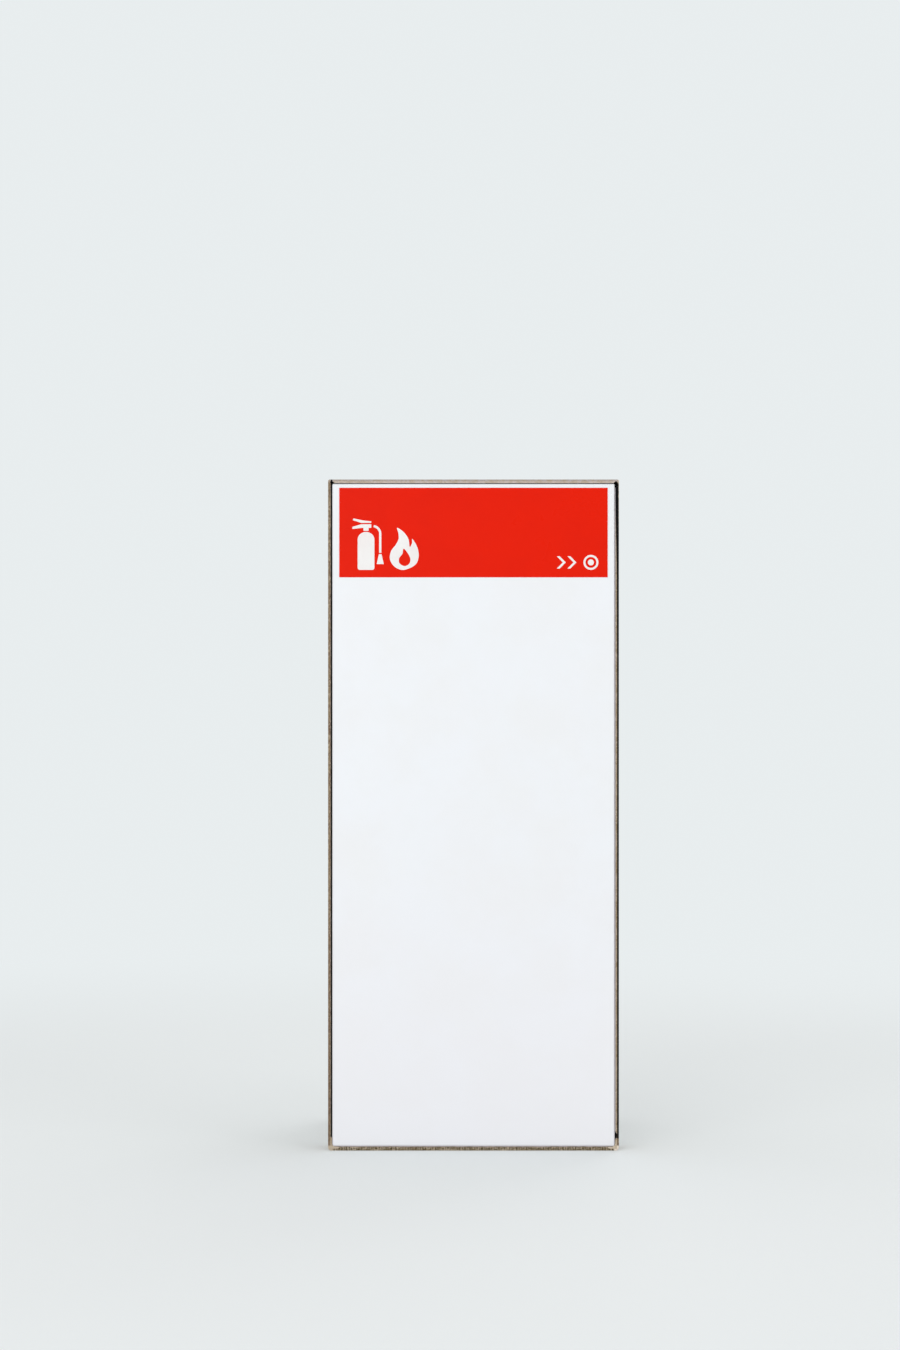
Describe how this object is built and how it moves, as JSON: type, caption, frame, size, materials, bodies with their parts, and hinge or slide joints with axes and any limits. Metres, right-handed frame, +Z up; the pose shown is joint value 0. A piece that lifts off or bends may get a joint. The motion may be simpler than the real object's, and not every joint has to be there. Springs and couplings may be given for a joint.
{
  "type": "flush fire extinguisher cabinet",
  "caption": "Tall flush wall cabinet of folded sheet steel for a hand fire extinguisher, with a pan door that swings on hidden pins behind a thin frame.",
  "frame": {"origin": "centre of the underside, midway across and midway deep", "axes": "+Z up, -Y out of the wall through the door, +X to the right as seen from the front"},
  "size_m": [0.26, 0.175, 0.6],
  "materials": {
    "white_paint": "satin",
    "box_paint": "satin",
    "frame_paint": "satin",
    "sign_red": "satin",
    "zinc_steel": "satin",
    "latch_plastic": "matt",
    "bumper_rubber": "matt"
  },
  "bodies": {
    "box": {"back_panel": "box_paint", "left_side_panel": "box_paint", "right_side_panel": "box_paint", "top_panel": "box_paint", "bottom_panel": "box_paint", "frame_left": "frame_paint", "frame_right": "frame_paint", "frame_top": "frame_paint", "frame_bottom": "frame_paint", "upper_pivot_pin": "zinc_steel", "lower_pivot_pin": "zinc_steel", "latch_housing": "latch_plastic", "latch_plunger": "zinc_steel", "upper_bumper": "bumper_rubber", "lower_bumper": "bumper_rubber"},
    "door": {"door_pan": "white_paint", "sign_band": "sign_red", "door_stiffener": "white_paint", "upper_hinge_plate": "zinc_steel", "lower_hinge_plate": "zinc_steel", "strike_plate": "zinc_steel"}
  },
  "joints": [
    {"name": "door_hinge", "type": "hinge", "parent": "box", "child": "door", "pos_m": [-0.1144, -0.0815, 0.3], "axis": [0, 0, -1], "range_deg": [0, 110]}
  ]
}
